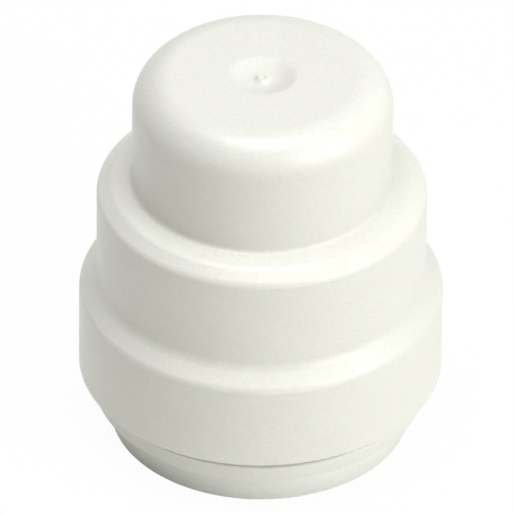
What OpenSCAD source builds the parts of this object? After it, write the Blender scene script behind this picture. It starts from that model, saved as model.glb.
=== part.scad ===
// Push-fit stop end for plastic and copper pipe.
// The fitting stands mouth down: the collet's outer face lies on z = 0 and the closed crown is on top.
// All pieces are turned about the Z axis, and lengths are in millimetres.

/* [Pipe] */
// Outside diameter of the pipe that the fitting closes
pipe_d = 15; // [12:0.5:22]
// Radial clearance between the pipe and the bores it runs in
pipe_clear = 0.15; // [0.1:0.05:0.3]
// Length of bore above the seal that holds the pipe's end
pipe_seat_l = 7.8; // [5:0.1:12]

/* [Body shell] */
// Wall of the top tier, round the pipe's end
crown_wall = 2.25; // [1.6:0.05:3.2]
// Wall of the middle tier, round the seal
waist_wall = 2.2; // [1.6:0.1:3.2]
// Wall of the bottom tier, round the collet housing
skirt_wall = 2.05; // [1.6:0.05:3.2]
// Thickness of the closed end
end_wall = 2.6; // [1.8:0.1:4]
// Radial width of the ledge that stops the pipe
pipe_stop_w = 1.2; // [0.6:0.1:2]
// Depth of the recess above the pipe stop
stop_recess_h = 1.45; // [0.6:0.05:3]
// Solid height from the seal chamber's roof to the foot of the top tier
crown_foot_rise = 2.5; // [1.8:0.05:4]
// Solid height from the housing socket's roof to the foot of the middle tier
waist_foot_rise = 2.3; // [1.6:0.05:4]
// Fall of the upper shoulder inside its ridge, in degrees below level
crown_shoulder_fall = 12; // [4:0.5:25]
// Fall of the upper shoulder outside its ridge, in degrees below level
crown_shoulder_edge_fall = 38; // [30:1:50]
// Radial width of the upper shoulder outside its ridge
crown_shoulder_edge_w = 1.1; // [0.6:0.05:1.4]
// Fall of the lower shoulder, in degrees below level
waist_shoulder_fall = 43.5; // [15:0.5:55]
// Draft of the outside walls, in degrees
draft = 0.25; // [0:0.05:1.5]

/* [Body edges] */
// Round of the crown's top edge
crown_edge_r = 2.75; // [1:0.05:4]
// Round of the upper shoulder's ridge
crown_ridge_r = 1; // [0.5:0.1:2]
// Round of the upper shoulder's outer edge
crown_shoulder_r = 0.6; // [0.3:0.05:2]
// Round of the lower shoulder's outer edge
waist_shoulder_r = 0.75; // [0.3:0.05:2]
// Fillet at the foot of the top tier
crown_foot_r = 0.4; // [0.2:0.05:1.5]
// Fillet at the foot of the middle tier
waist_foot_r = 1; // [0.2:0.05:1.5]
// Round of the rim at the mouth
rim_r = 0.12; // [0.1:0.01:0.6]

/* [Gate mark] */
// Radius of the dished hollow in the crown
dish_r = 2.5; // [1.8:0.1:4]
// Depth of the dished hollow
dish_h = 0.42; // [0.3:0.02:1]
// Round of the dished hollow's rim
dish_rim_r = 1; // [0.2:0.1:2]
// Radius of the gate stub's top, in the middle of the dish
gate_r = 0.4; // [0.35:0.05:0.8]
// Height of the gate stub
gate_h = 0.22; // [0.1:0.02:0.4]
// Slope of the gate stub's flank, in degrees
gate_slope = 38; // [30:1:70]
// Radius of the hollow in the gate stub's top
gate_hollow_r = 0.2; // [0.1:0.05:0.3]
// Depth of the hollow in the gate stub's top
gate_hollow_h = 0.1; // [0.04:0.02:0.2]

/* [Seal] */
// Section diameter of the O-ring
seal_d = 2.62; // [2:0.02:3]
// How far the relaxed O-ring reaches inside the pipe's surface
seal_bite = 0.09; // [0.02:0.01:0.1]
// How far the O-ring is pressed into the gland's wall
seal_press = 0.03; // [0.01:0.01:0.1]
// Length of the O-ring's gland
gland_l = 3.2; // [3.1:0.1:5]
// Thickness of the spacer washer under the O-ring
washer_t = 1.2; // [0.6:0.1:2]

/* [Collet] */
// Height of the collet's flange
flange_h = 2.65; // [1.5:0.05:4]
// How far the flange stands out past the collet's neck
flange_w = 2.75; // [1.5:0.05:3.4]
// Thickness of the neck and the fingers
finger_t = 1.1; // [0.8:0.05:1.5]
// Length of neck from the flange to the fingers' ramps
neck_l = 4.65; // [3.5:0.05:7]
// Height of the bosses on the fingers
boss_h = 0.55; // [0.35:0.05:0.8]
// Length of the bosses past their ramps
boss_l = 4.5; // [3.5:0.1:7]
// Relief of the fingers' inside, round the teeth
relief_h = 0.4; // [0.2:0.05:0.6]
// Number of fingers, which is even
finger_count = 8; // [4:2:8]
// Width of the slots between the fingers
slot_w = 1.5; // [0.8:0.1:2]
// Solid length of neck between the flange and the slots
slot_foot = 1.4; // [0.8:0.1:2.5]
// How far the collet slides
collet_travel = 1.6; // [0.8:0.1:2]

/* [Teeth] */
// Thickness of the steel teeth
tooth_t = 0.4; // [0.25:0.05:0.6]
// Width of the steel teeth
tooth_w = 2.8; // [1.5:0.1:3.2]
// How far the teeth reach inside the pipe's surface
tooth_bite = 0.08; // [0.02:0.01:0.1]
// Lean of the teeth away from the pipe's axis, in degrees
tooth_lean = 50; // [40:1:65]
// Distance from the fingers' ends down to the teeth's tips
tooth_setback = 2; // [1.6:0.1:2.6]
// Plastic left between the teeth's roots and the bosses' outside
tooth_cover = 0.4; // [0.25:0.05:0.6]

/* [Collet housing] */
// Height of the housing's flange
housing_flange_h = 1.3; // [1:0.05:2.5]
// Height of the open groove between the housing's flange and the body's rim
housing_groove_h = 1; // [0.4:0.05:1.5]
// How far the housing's flange stands out past its sleeve
housing_flange_w = 0.95; // [0.5:0.05:1.4]
// Length of the thick sleeve in the body's socket
sleeve_l = 6; // [4:0.1:7.5]
// How far the sleeve stands out past the housing's nose
sleeve_step = 1.5; // [1:0.1:2]
// Wall of the nose round the fingers
nose_wall = 0.95; // [0.6:0.05:1.5]
// Slope of the ramps that close the fingers, in degrees
ramp_angle = 17; // [12:1:25]
// Height of the snap bead round the sleeve
bead_h = 0.3; // [0.15:0.05:0.5]

/* [Clearances] */
// Gap of pieces that are fixed in each other
fit_gap = 0.05; // [0.03:0.01:0.1]
// End gap on each side of the loose washer
float_gap = 0.1; // [0.05:0.05:0.3]
// Gap between the collet's flange and the housing when it is pushed in
release_gap = 0.15; // [0.1:0.05:0.5]
// Radial gap round the collet's neck
neck_gap = 0.2; // [0.15:0.05:0.4]
// Radial gap round the collet's bosses
boss_gap = 0.1; // [0.08:0.02:0.3]
// Gap between the ramps when the collet is pulled out
ramp_gap = 0.06; // [0.04:0.01:0.1]
// Gap between the fingers' ends and the washer's side of the housing
finger_end_gap = 0.95; // [0.3:0.05:2]

/* [Hidden] */
$fn = 96;
fingers = [1 : finger_count];
past = 1; // how far a cut runs past the face that it opens
corner_share = 0.49; // the share of an edge that the round at each of its ends may take

// Radii, from the pipe outwards
pipe_r = pipe_d / 2;
bore_r = pipe_r + pipe_clear;
finger_r = bore_r + finger_t;
boss_r = finger_r + boss_h;
flange_r = finger_r + flange_w;
lip_r = finger_r + neck_gap;
nose_bore_r = boss_r + boss_gap;
nose_r = nose_bore_r + nose_wall;
sleeve_r = nose_r + sleeve_step;
housing_flange_r = sleeve_r + housing_flange_w;
chamber_r = nose_r + fit_gap;
socket_r = sleeve_r + fit_gap;
seal_in_r = pipe_r - seal_bite;
seal_mid_r = seal_in_r + seal_d / 2;
gland_r = seal_in_r + seal_d - seal_press;
crown_r = bore_r + crown_wall;
waist_r = chamber_r + waist_wall;
skirt_r = socket_r + skirt_wall;

// Heights, from the collet's face upwards
housing_z = flange_h + release_gap;
housing_flange_z = housing_z + housing_flange_h;
mouth_z = housing_flange_z + housing_groove_h;
sleeve_z = mouth_z + sleeve_l;
socket_roof_z = sleeve_z + fit_gap;
ramp_z = flange_h + neck_l;
boss_z = ramp_z + boss_h / tan(ramp_angle);
tip_chamfer = boss_h;
finger_top_z = boss_z + boss_l + tip_chamfer;
nose_z = finger_top_z + finger_end_gap;
washer_z = nose_z + float_gap;
washer_seat_z = washer_z + washer_t + float_gap;
gland_roof_z = washer_seat_z + gland_l;
pipe_stop_z = gland_roof_z + pipe_seat_l;
recess_roof_z = pipe_stop_z + stop_recess_h;
top_z = recess_roof_z + end_wall;
dish_z = top_z - dish_h;
crown_foot_z = gland_roof_z + crown_foot_rise;
waist_foot_z = socket_roof_z + waist_foot_rise;
seal_z = (washer_z + washer_t + gland_roof_z) / 2;
seat_ramp_z = ramp_z - collet_travel + (neck_gap - ramp_gap) / tan(ramp_angle);
seat_ramp_top_z = seat_ramp_z + (nose_bore_r - lip_r) / tan(ramp_angle);
bead_z = mouth_z + sleeve_l / 2;
slot_z = flange_h + slot_foot + slot_w / 2;
tooth_tip_z = finger_top_z - tooth_setback;

// Small edges that lead a piece into its place
pipe_lead = 0.5;
entry_chamfer = 0.4;
bead_slope = 32;
bead_flank = bead_h / tan(bead_slope);
edge_r = 0.12;
gate_edge_r = 0.08;
recess_r = bore_r - pipe_stop_w;
recess_edge_r = 0.6;

// Helpers for points and directions in an outline
function unit(v) = v / norm(v);
function xy(p) = [p[0], p[1]];
function round_of(p) = len(p) > 2 ? p[2] : 0;
function turn(a, b) = a[0] * b[1] - a[1] * b[0];

// A rounded corner of an outline: [start, point, end, centre, radius, convex or not]
function corner(before, p, after) =
    let (
        back = unit(xy(before) - xy(p)),
        on = unit(xy(after) - xy(p)),
        half = acos(max(-1, min(1, back * on))) / 2,
        room = corner_share * min(norm(xy(before) - xy(p)), norm(xy(after) - xy(p))),
        reach = min(round_of(p) / tan(half), room),
        radius = reach * tan(half)
    )
    [xy(p) + back * reach, xy(p), xy(p) + on * reach,
        xy(p) + unit(back + on) * radius / sin(half), radius, turn(-back, on) > 0];

// The slice of a round that lies in its own corner
module corner_slice(c) {
    intersection() {
        translate(c[3]) circle(c[4]);
        polygon([c[0], c[1], c[2], c[3]]);
    }
}

// A closed outline of [r, z, round] points, anticlockwise, with true arcs at the rounded corners
module rounded_outline(points) {
    count = len(points);
    before = [for (i = [0 : count - 1]) points[(i + count - 1) % count]];
    after = [for (i = [0 : count - 1]) points[(i + 1) % count]];
    rounded = [for (i = [0 : count - 1]) if (round_of(points[i]) > 0) corner(before[i], points[i], after[i])];
    straight = [for (i = [0 : count - 1])
        each round_of(points[i]) > 0
            ? let (c = corner(before[i], points[i], after[i])) [c[0], c[2]]
            : [xy(points[i])]];
    difference() {
        union() {
            polygon(straight);
            for (c = rounded) if (c[5]) corner_slice(c);
        }
        for (c = rounded) if (!c[5]) corner_slice(c);
    }
}

// The snap bead's outline up the sleeve, standing off by gap
function bead_points(gap) = [
    [sleeve_r + gap, bead_z - bead_h / 2 - bead_flank],
    [sleeve_r + bead_h + gap, bead_z - bead_h / 2],
    [sleeve_r + bead_h + gap, bead_z + bead_h / 2],
    [sleeve_r + gap, bead_z + bead_h / 2 + bead_flank]
];

// Outside of the body: three drafted tiers, two falling shoulders and the dished crown.
// The dish's bowl is rounded as far as its edges allow.
module body_outline() {
    lean = tan(draft);
    skirt_top_z = waist_foot_z - (skirt_r - waist_r) * tan(waist_shoulder_fall);
    ridge_r = waist_r - crown_shoulder_edge_w;
    ridge_z = crown_foot_z - (ridge_r - crown_r) * tan(crown_shoulder_fall);
    waist_top_z = ridge_z - crown_shoulder_edge_w * tan(crown_shoulder_edge_fall);
    rounded_outline([
        [0, mouth_z],
        [skirt_r, mouth_z, rim_r],
        [skirt_r - (skirt_top_z - mouth_z) * lean, skirt_top_z, waist_shoulder_r],
        [waist_r, waist_foot_z, waist_foot_r],
        [waist_r - (waist_top_z - waist_foot_z) * lean, waist_top_z, crown_shoulder_r],
        [ridge_r, ridge_z, crown_ridge_r],
        [crown_r, crown_foot_z, crown_foot_r],
        [crown_r - (top_z - crown_foot_z) * lean, top_z, crown_edge_r],
        [dish_r, top_z, dish_rim_r],
        [dish_r / 2, dish_z, 2 * dish_r],
        [0, dish_z]
    ]);
}

// Stub that the gate leaves in the dish: a low cone with a hollow top
module gate_outline() {
    gate_top_z = dish_z + gate_h;
    gate_foot_r = gate_r + gate_h / tan(gate_slope);
    rounded_outline([
        [0, dish_z - gate_h],
        [gate_foot_r, dish_z - gate_h],
        [gate_foot_r, dish_z],
        [gate_r, gate_top_z, gate_edge_r],
        [gate_hollow_r, gate_top_z, gate_edge_r],
        [gate_hollow_r / 2, gate_top_z - gate_hollow_h],
        [0, gate_top_z - gate_hollow_h]
    ]);
}

// Inside of the body: socket, washer chamber, gland, pipe bore and recess, from the mouth up
module body_cavity() {
    rounded_outline(concat(
        [
            [0, mouth_z - past],
            [socket_r + entry_chamfer, mouth_z - past],
            [socket_r + entry_chamfer, mouth_z],
            [socket_r, mouth_z + entry_chamfer]
        ],
        bead_points(fit_gap),
        [
            [socket_r, socket_roof_z],
            [chamber_r, socket_roof_z],
            [chamber_r, washer_seat_z],
            [gland_r, washer_seat_z],
            [gland_r, gland_roof_z],
            [bore_r + pipe_lead, gland_roof_z],
            [bore_r, gland_roof_z + pipe_lead],
            [bore_r, pipe_stop_z],
            [recess_r, pipe_stop_z],
            [recess_r, recess_roof_z, recess_edge_r],
            [0, recess_roof_z]
        ]
    ));
}

module stop_end_body() {
    color("#f0f0e8")
    rotate_extrude()
    difference() {
        union() {
            body_outline();
            gate_outline();
        }
        body_cavity();
    }
}

// Flanged sleeve that holds the collet in the body, with the ramp that closes its fingers.
// The groove over its flange lets a blade draw it out.
module collet_housing() {
    color("#ecece4")
    rotate_extrude()
    rounded_outline(concat(
        [
            [lip_r + entry_chamfer, housing_z],
            [housing_flange_r, housing_z, edge_r],
            [housing_flange_r, housing_flange_z, edge_r],
            [sleeve_r, housing_flange_z, edge_r]
        ],
        bead_points(0),
        [
            [sleeve_r, sleeve_z, entry_chamfer],
            [nose_r, sleeve_z],
            [nose_r, nose_z, edge_r],
            [nose_bore_r, nose_z, edge_r],
            [nose_bore_r, seat_ramp_top_z],
            [lip_r, seat_ramp_z],
            [lip_r, housing_z + entry_chamfer]
        ]
    ));
}

// Round seal, flattened a little where the gland presses it
module o_ring() {
    color("#1c1c1e")
    rotate_extrude()
    intersection() {
        translate([seal_mid_r, seal_z]) circle(d = seal_d);
        translate([seal_in_r - past, seal_z - seal_d]) square([gland_r - seal_in_r + past, 2 * seal_d]);
    }
}

module spacer_washer() {
    color("#d8d8d0")
    rotate_extrude()
    rounded_outline([
        [bore_r + edge_r, washer_z],
        [nose_r, washer_z, edge_r],
        [nose_r, washer_z + washer_t, edge_r],
        [bore_r + edge_r, washer_z + washer_t],
        [bore_r, washer_z + washer_t - edge_r],
        [bore_r, washer_z + edge_r]
    ]);
}

// Steel strip that leans inwards and up, on the +X side; its inner end runs past the tip's edge
module tooth_strip() {
    tip_r = pipe_r - tooth_bite;
    root_r = boss_r - tooth_cover;
    lean = [-sin(tooth_lean), cos(tooth_lean)];
    across = [lean[1], -lean[0]] * tooth_t / 2;
    tip = [tip_r, tooth_tip_z];
    root = tip - lean * (root_r - tip_r) / sin(tooth_lean);
    inner = tip + lean * tooth_t;
    rotate([90, 0, 0])
    linear_extrude(tooth_w, center = true)
    polygon([root - across, root + across, inner + across, inner - across]);
}

// Places its children on the middle of finger i
module at_finger(i) {
    rotate([0, 0, (i - 0.5) * 360 / finger_count]) children();
}

// Turned blank of the collet, before its slots are cut
module collet_blank() {
    relief_r = bore_r + relief_h;
    relief_z = boss_z;
    rotate_extrude()
    rounded_outline([
        [bore_r + pipe_lead, 0],
        [flange_r, 0, edge_r],
        [flange_r, flange_h, edge_r],
        [finger_r, flange_h],
        [finger_r, ramp_z],
        [boss_r, boss_z],
        [boss_r, finger_top_z - tip_chamfer],
        [boss_r - tip_chamfer, finger_top_z],
        [relief_r, finger_top_z],
        [relief_r, relief_z],
        [bore_r, relief_z - relief_h],
        [bore_r, pipe_lead]
    ]);
}

// Slots across the collet, each with a round root, that part it into fingers
module finger_slots() {
    length = 2 * (boss_r + past);
    for (i = [1 : finger_count / 2])
        rotate([0, 0, i * 360 / finger_count]) {
            translate([-length / 2, -slot_w / 2, slot_z]) cube([length, slot_w, finger_top_z - slot_z + past]);
            translate([-length / 2, 0, slot_z]) rotate([0, 90, 0]) cylinder(h = length, d = slot_w);
        }
}

module collet() {
    color("#e6e6de")
    difference() {
        collet_blank();
        finger_slots();
        for (i = fingers) at_finger(i) tooth_strip();
    }
}

// One tooth, with its edge hollowed to the pipe's round
module grip_tooth(i) {
    color("#b9bcc0")
    at_finger(i)
    difference() {
        tooth_strip();
        cylinder(h = top_z, r = pipe_r - tooth_bite);
    }
}

stop_end_body();
collet_housing();
o_ring();
spacer_washer();
collet();
for (i = fingers) grip_tooth(i);
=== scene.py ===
"""Looks of a push-fit stop end: satin white mouldings, a black seal and steel teeth, on a pale table."""
import math

import bpy
from mathutils import Matrix, Vector


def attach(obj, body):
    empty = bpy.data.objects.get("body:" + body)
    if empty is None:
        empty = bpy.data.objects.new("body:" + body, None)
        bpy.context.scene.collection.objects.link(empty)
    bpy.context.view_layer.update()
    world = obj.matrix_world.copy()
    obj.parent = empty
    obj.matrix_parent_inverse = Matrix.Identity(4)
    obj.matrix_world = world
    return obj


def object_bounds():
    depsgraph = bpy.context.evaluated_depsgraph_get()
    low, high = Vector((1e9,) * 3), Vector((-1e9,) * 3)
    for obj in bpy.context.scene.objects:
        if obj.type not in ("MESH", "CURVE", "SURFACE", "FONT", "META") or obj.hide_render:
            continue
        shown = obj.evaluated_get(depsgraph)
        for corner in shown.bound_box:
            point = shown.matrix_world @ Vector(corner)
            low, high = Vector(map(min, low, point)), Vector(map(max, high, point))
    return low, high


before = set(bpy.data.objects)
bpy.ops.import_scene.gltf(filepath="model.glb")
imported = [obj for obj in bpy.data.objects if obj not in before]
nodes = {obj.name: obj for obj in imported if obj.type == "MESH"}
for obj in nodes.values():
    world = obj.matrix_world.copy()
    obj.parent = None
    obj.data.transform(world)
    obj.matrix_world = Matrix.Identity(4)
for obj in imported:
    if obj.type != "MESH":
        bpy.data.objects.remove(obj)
cad_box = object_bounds()

# Lengths are in metres
MM = 0.001

# Camera, as the photograph was taken; the frame is square
IMAGE_PIXELS = 514
FOCAL_PIXELS = 10083
SENSOR_WIDTH_MM = 36.0
VIEW_ELEVATION = math.radians(36.15)
VIEW_ROLL = math.radians(0.545)
VIEW_DISTANCE = 770 * MM
VIEW_HEIGHT = 14.56 * MM
VIEW_SIDE_STEP = -0.33 * MM
VIEW_NEAR_LIMIT = 10 * MM

# Lamp panels, all at one distance from a point in the middle of the fitting
LAMP_DISTANCE = 1.0
LAMP_AIM_HEIGHT = 15 * MM

# Even light from all round
WORLD_GLOW = 0.002

# Table
TABLE_WHITE = (0.93, 0.93, 0.885)
TABLE_ROUGHNESS = 0.9
TABLE_GLOW = 0.96
TABLE_WIDTH = 4.0
TABLE_GAP = 0.01 * MM

# Colours of the pieces, in linear light
PURE_WHITE = (1, 1, 1)
BODY_WHITE = (0.80, 0.80, 0.742)
HOUSING_WHITE = (0.80, 0.80, 0.742)
# The collet is painted lighter than the body to make up for the shade under the housing's overhang and
# near the table: painted light. Its slightly cooler tint is its own colour.
COLLET_WHITE_WITH_PAINTED_LIGHT = (0.865, 0.872, 0.825)
WASHER_WHITE = (0.74, 0.74, 0.68)
SEAL_BLACK = (0.016, 0.016, 0.018)
TOOTH_STEEL = (0.56, 0.57, 0.58)

# Noise: its usual detail, and the range that most of its values fall in
NOISE_DETAIL = 3.0
NOISE_LOW = 0.3
NOISE_HIGH = 0.7

# White mouldings: soft clouds, fine specks and a fine grain, both a little longer round than up
MOULDING_ROUGHNESS = 0.315
WASHER_ROUGHNESS = 0.42
ROUGHNESS_SWING = 0.03
PLASTIC_IOR = 1.48
CLOUD_SIZE = 5 * MM
CLOUD_DARK_SHARES = (0.952, 0.998)
CLOUD_LIGHT_SHARES = (0.967, 1.013)
SPECK_SIZE = 0.18 * MM
SHEEN_SIZE = 1.2 * MM
GRAIN_SIZE = 0.14 * MM
GRAIN_DEPTH = 0.012 * MM
GRAIN_SQUEEZE = (0.6, 0.6, 1)
FINE_DETAIL = 1.0

# Seal rubber: a dull bloom on a smooth skin
BLOOM_SIZE = 0.8 * MM
BLOOM_SHARE = 1.8
RUBBER_SHEEN_SIZE = 0.4 * MM
RUBBER_ROUGHNESS = (0.42, 0.55)
SKIN_SIZE = 0.1 * MM
SKIN_DEPTH = 0.002 * MM

# Tooth steel: fine marks, ten times longer along the fitting's axis
ROLLING_SIZE = 0.05 * MM
ROLLING_DEPTH = 0.001 * MM
ROLLING_SQUEEZE = (1, 1, 0.1)
ROLLING_SHARE = 0.85
STEEL_ROUGHNESS = (0.29, 0.40)


def new_material(name):
    """A new node material, with its tree and its shader."""
    material = bpy.data.materials.new(name)
    material.use_nodes = True
    return material, material.node_tree, material.node_tree.nodes["Principled BSDF"]


def add_node(tree, kind, **settings):
    """A node of a kind, with its properties and its inputs set by name."""
    node = tree.nodes.new(kind)
    for key, value in settings.items():
        if hasattr(node, key):
            setattr(node, key, value)
        else:
            node.inputs[key].default_value = value
    return node


def object_point(tree, squeeze=(1, 1, 1)):
    """The point on the piece, in metres; a pattern grows longer along an axis that is squeezed."""
    place = add_node(tree, "ShaderNodeTexCoord")
    mapping = add_node(tree, "ShaderNodeMapping", Scale=squeeze)
    tree.links.new(place.outputs["Object"], mapping.inputs["Vector"])
    return mapping.outputs["Vector"]


def noise(tree, point, size, detail=NOISE_DETAIL):
    """Soft noise whose blots are about one size across."""
    node = add_node(tree, "ShaderNodeTexNoise", Scale=1 / size, Detail=detail)
    tree.links.new(point, node.inputs["Vector"])
    return node.outputs["Fac"]


def spread(tree, value, low=0, high=1):
    """Maps a noise's middle range onto the range from low to high."""
    node = add_node(tree, "ShaderNodeMapRange")
    node.inputs["From Min"].default_value = NOISE_LOW
    node.inputs["From Max"].default_value = NOISE_HIGH
    node.inputs["To Min"].default_value = low
    node.inputs["To Max"].default_value = high
    tree.links.new(value, node.inputs["Value"])
    return node.outputs["Result"]


def colour_mix(tree, value):
    """A node that goes from colour A to colour B as a value goes from 0 to 1."""
    node = add_node(tree, "ShaderNodeMix", data_type="RGBA")
    tree.links.new(value, node.inputs["Factor"])
    return node


def shade_between(tree, value, dark, light):
    """A shade between two fixed colours."""
    node = colour_mix(tree, value)
    node.inputs["A"].default_value = (*dark, 1)
    node.inputs["B"].default_value = (*light, 1)
    return node.outputs["Result"]


def blend_shades(tree, value, first, second):
    """A blend of two shades that come from nodes."""
    node = colour_mix(tree, value)
    tree.links.new(first, node.inputs["A"])
    tree.links.new(second, node.inputs["B"])
    return node.outputs["Result"]


def tint(colour, share):
    """A colour made darker or lighter."""
    return tuple(share * channel for channel in colour)


def bump(tree, height, depth):
    """A bump of a real depth in metres."""
    node = add_node(tree, "ShaderNodeBump", Strength=1.0, Distance=depth)
    tree.links.new(height, node.inputs["Height"])
    return node.outputs["Normal"]


def white_moulding(name, colour, roughness):
    """Satin moulded plastic with faint clouds, fine specks and a fine grain."""
    material, tree, shader = new_material(name)
    point = object_point(tree)
    grain_point = object_point(tree, GRAIN_SQUEEZE)
    clouds = spread(tree, noise(tree, point, CLOUD_SIZE))
    specks = spread(tree, noise(tree, grain_point, SPECK_SIZE, FINE_DETAIL))
    in_dark, in_light = (
        shade_between(tree, specks, tint(colour, low), tint(colour, high))
        for low, high in (CLOUD_DARK_SHARES, CLOUD_LIGHT_SHARES)
    )
    tree.links.new(blend_shades(tree, clouds, in_dark, in_light), shader.inputs["Base Color"])
    sheen = noise(tree, point, SHEEN_SIZE)
    satin = spread(tree, sheen, roughness - ROUGHNESS_SWING, roughness + ROUGHNESS_SWING)
    tree.links.new(satin, shader.inputs["Roughness"])
    grain = bump(tree, noise(tree, grain_point, GRAIN_SIZE, FINE_DETAIL), GRAIN_DEPTH)
    tree.links.new(grain, shader.inputs["Normal"])
    shader.inputs["IOR"].default_value = PLASTIC_IOR
    return material


def black_rubber(name):
    """Smooth moulded seal rubber with a dull bloom."""
    material, tree, shader = new_material(name)
    point = object_point(tree)
    bloom = spread(tree, noise(tree, point, BLOOM_SIZE))
    shade = shade_between(tree, bloom, SEAL_BLACK, tint(SEAL_BLACK, BLOOM_SHARE))
    tree.links.new(shade, shader.inputs["Base Color"])
    sheen = noise(tree, point, RUBBER_SHEEN_SIZE)
    tree.links.new(spread(tree, sheen, *RUBBER_ROUGHNESS), shader.inputs["Roughness"])
    skin = bump(tree, noise(tree, point, SKIN_SIZE), SKIN_DEPTH)
    tree.links.new(skin, shader.inputs["Normal"])
    return material


def pressed_steel(name):
    """Stainless strip with fine rolling marks."""
    material, tree, shader = new_material(name)
    rolled = noise(tree, object_point(tree, ROLLING_SQUEEZE), ROLLING_SIZE)
    shade = shade_between(tree, spread(tree, rolled), tint(TOOTH_STEEL, ROLLING_SHARE), TOOTH_STEEL)
    tree.links.new(shade, shader.inputs["Base Color"])
    tree.links.new(spread(tree, rolled, *STEEL_ROUGHNESS), shader.inputs["Roughness"])
    tree.links.new(bump(tree, rolled, ROLLING_DEPTH), shader.inputs["Normal"])
    shader.inputs["Metallic"].default_value = 1.0
    return material


def dress(node_names, material):
    """Gives CAD nodes their finish."""
    for name in node_names:
        mesh = nodes[name].data
        mesh.materials.clear()
        mesh.materials.append(material)


def seen_directly(tree, share=1.0):
    """A share for rays from the camera, by gloss or through glass, and 0 for all others."""
    rays = add_node(tree, "ShaderNodeLightPath")
    total = rays.outputs["Is Camera Ray"]
    for kind in ("Is Glossy Ray", "Is Transmission Ray"):
        either = add_node(tree, "ShaderNodeMath", operation="MAXIMUM")
        tree.links.new(total, either.inputs[0])
        tree.links.new(rays.outputs[kind], either.inputs[1])
        total = either.outputs["Value"]
    scaled = add_node(tree, "ShaderNodeMath", operation="MULTIPLY")
    tree.links.new(total, scaled.inputs[0])
    scaled.inputs[1].default_value = share
    return scaled.outputs["Value"]


def table_finish():
    """White table that is bright where it is seen and still takes the object's shadow."""
    material, tree, shader = new_material("pale_table")
    shader.inputs["Base Color"].default_value = (*TABLE_WHITE, 1)
    shader.inputs["Roughness"].default_value = TABLE_ROUGHNESS
    glow = add_node(tree, "ShaderNodeEmission", Color=(*PURE_WHITE, 1), Strength=1.0)
    mix = add_node(tree, "ShaderNodeMixShader")
    tree.links.new(seen_directly(tree, TABLE_GLOW), mix.inputs["Fac"])
    tree.links.new(shader.outputs["BSDF"], mix.inputs[1])
    tree.links.new(glow.outputs["Emission"], mix.inputs[2])
    tree.links.new(mix.outputs["Shader"], tree.nodes["Material Output"].inputs["Surface"])
    return material


def add_table():
    """The table that the collet stands on, which stays under it when it slides out."""
    bpy.ops.object.select_all(action="DESELECT")
    bpy.ops.mesh.primitive_plane_add(size=TABLE_WIDTH, location=(0, 0, cad_box[0][2] - TABLE_GAP))
    table = bpy.context.object
    table.name = "table"
    table.data.materials.append(table_finish())
    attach(table, "collet")


def add_lamp_panel(name, azimuth, elevation, width, height, watts):
    """A lamp panel aimed at the fitting; azimuth 0 is the camera's side and 90 is on its right."""
    turn = math.radians(azimuth)
    rise = math.radians(elevation)
    aim = Vector((0, 0, LAMP_AIM_HEIGHT))
    away = Vector((math.sin(turn) * math.cos(rise), -math.cos(turn) * math.cos(rise), math.sin(rise)))
    lamp = bpy.data.lights.new(name, "AREA")
    lamp.shape = "RECTANGLE"
    lamp.size = width
    lamp.size_y = height
    lamp.energy = watts
    panel = bpy.data.objects.new(name, lamp)
    panel.location = aim + away * LAMP_DISTANCE
    panel.rotation_euler = (math.pi / 2 - rise, 0, turn)
    bpy.context.scene.collection.objects.link(panel)


def set_world():
    """White where it is seen, and an even dim glow on the object."""
    world = bpy.data.worlds.new("studio")
    bpy.context.scene.world = world
    world.use_nodes = True
    tree = world.node_tree
    glow = tree.nodes["Background"]
    glow.inputs["Color"].default_value = (*PURE_WHITE, 1)
    glow.inputs["Strength"].default_value = WORLD_GLOW
    white = add_node(tree, "ShaderNodeBackground", Color=(*PURE_WHITE, 1), Strength=1.0)
    mix = add_node(tree, "ShaderNodeMixShader")
    tree.links.new(seen_directly(tree), mix.inputs["Fac"])
    tree.links.new(glow.outputs["Background"], mix.inputs[1])
    tree.links.new(white.outputs["Background"], mix.inputs[2])
    tree.links.new(mix.outputs["Shader"], tree.nodes["World Output"].inputs["Surface"])


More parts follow.
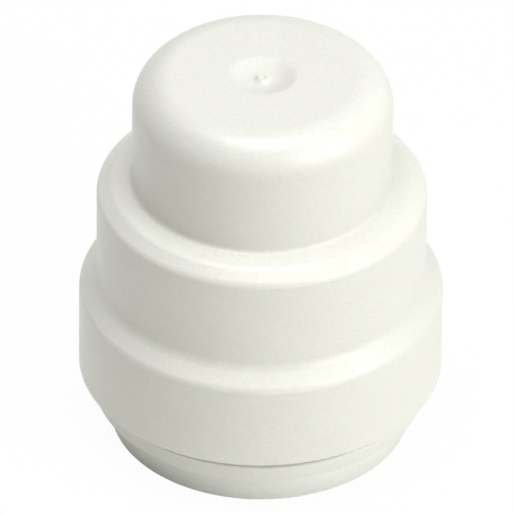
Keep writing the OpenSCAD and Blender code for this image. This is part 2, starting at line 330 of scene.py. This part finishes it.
def add_camera():
    """The camera, in front of the fitting and above it."""
    lens = bpy.data.cameras.new("photo_camera")
    lens.sensor_width = SENSOR_WIDTH_MM
    lens.lens = FOCAL_PIXELS / IMAGE_PIXELS * SENSOR_WIDTH_MM
    lens.clip_start = VIEW_NEAR_LIMIT
    camera = bpy.data.objects.new("photo_camera", lens)
    tilt = math.pi / 2 - VIEW_ELEVATION
    back = Vector((0, -math.cos(VIEW_ELEVATION), math.sin(VIEW_ELEVATION)))
    turn = Matrix.Rotation(tilt, 4, "X") @ Matrix.Rotation(VIEW_ROLL, 4, "Z")
    place = Vector((VIEW_SIDE_STEP, 0, VIEW_HEIGHT)) + back * VIEW_DISTANCE
    camera.matrix_world = Matrix.Translation(place) @ turn
    bpy.context.scene.collection.objects.link(camera)
    bpy.context.scene.camera = camera


# Camera, light and table
add_camera()
set_world()
add_lamp_panel("key_lamp", azimuth=56, elevation=24, width=0.85, height=0.7, watts=6.9)
add_lamp_panel("top_lamp", azimuth=0, elevation=88, width=0.7, height=0.35, watts=5.7)
add_lamp_panel("front_top_lamp", azimuth=0, elevation=72, width=0.7, height=0.3, watts=1.8)
add_lamp_panel("back_lamp", azimuth=180, elevation=50, width=0.5, height=0.5, watts=0.6)
add_lamp_panel("back_left_lamp", azimuth=238, elevation=60, width=0.6, height=0.6, watts=1.2)
add_table()

# Finishes of the pieces
tooth_names = [name for name in nodes if name.startswith("grip_tooth")]
dress(["stop_end_body"], white_moulding("satin_white_body", BODY_WHITE, MOULDING_ROUGHNESS))
dress(["collet_housing"], white_moulding("satin_white_housing", HOUSING_WHITE, MOULDING_ROUGHNESS))
# The collet's finish carries painted light: its white is raised to brighten its shaded foot.
dress(["collet"], white_moulding("satin_white_collet_with_painted_light", COLLET_WHITE_WITH_PAINTED_LIGHT, MOULDING_ROUGHNESS))
dress(["spacer_washer"], white_moulding("satin_white_washer", WASHER_WHITE, WASHER_ROUGHNESS))
dress(["o_ring"], black_rubber("black_seal_rubber"))
dress(tooth_names, pressed_steel("pressed_tooth_steel"))

bpy.context.scene.view_settings.view_transform = "Standard"
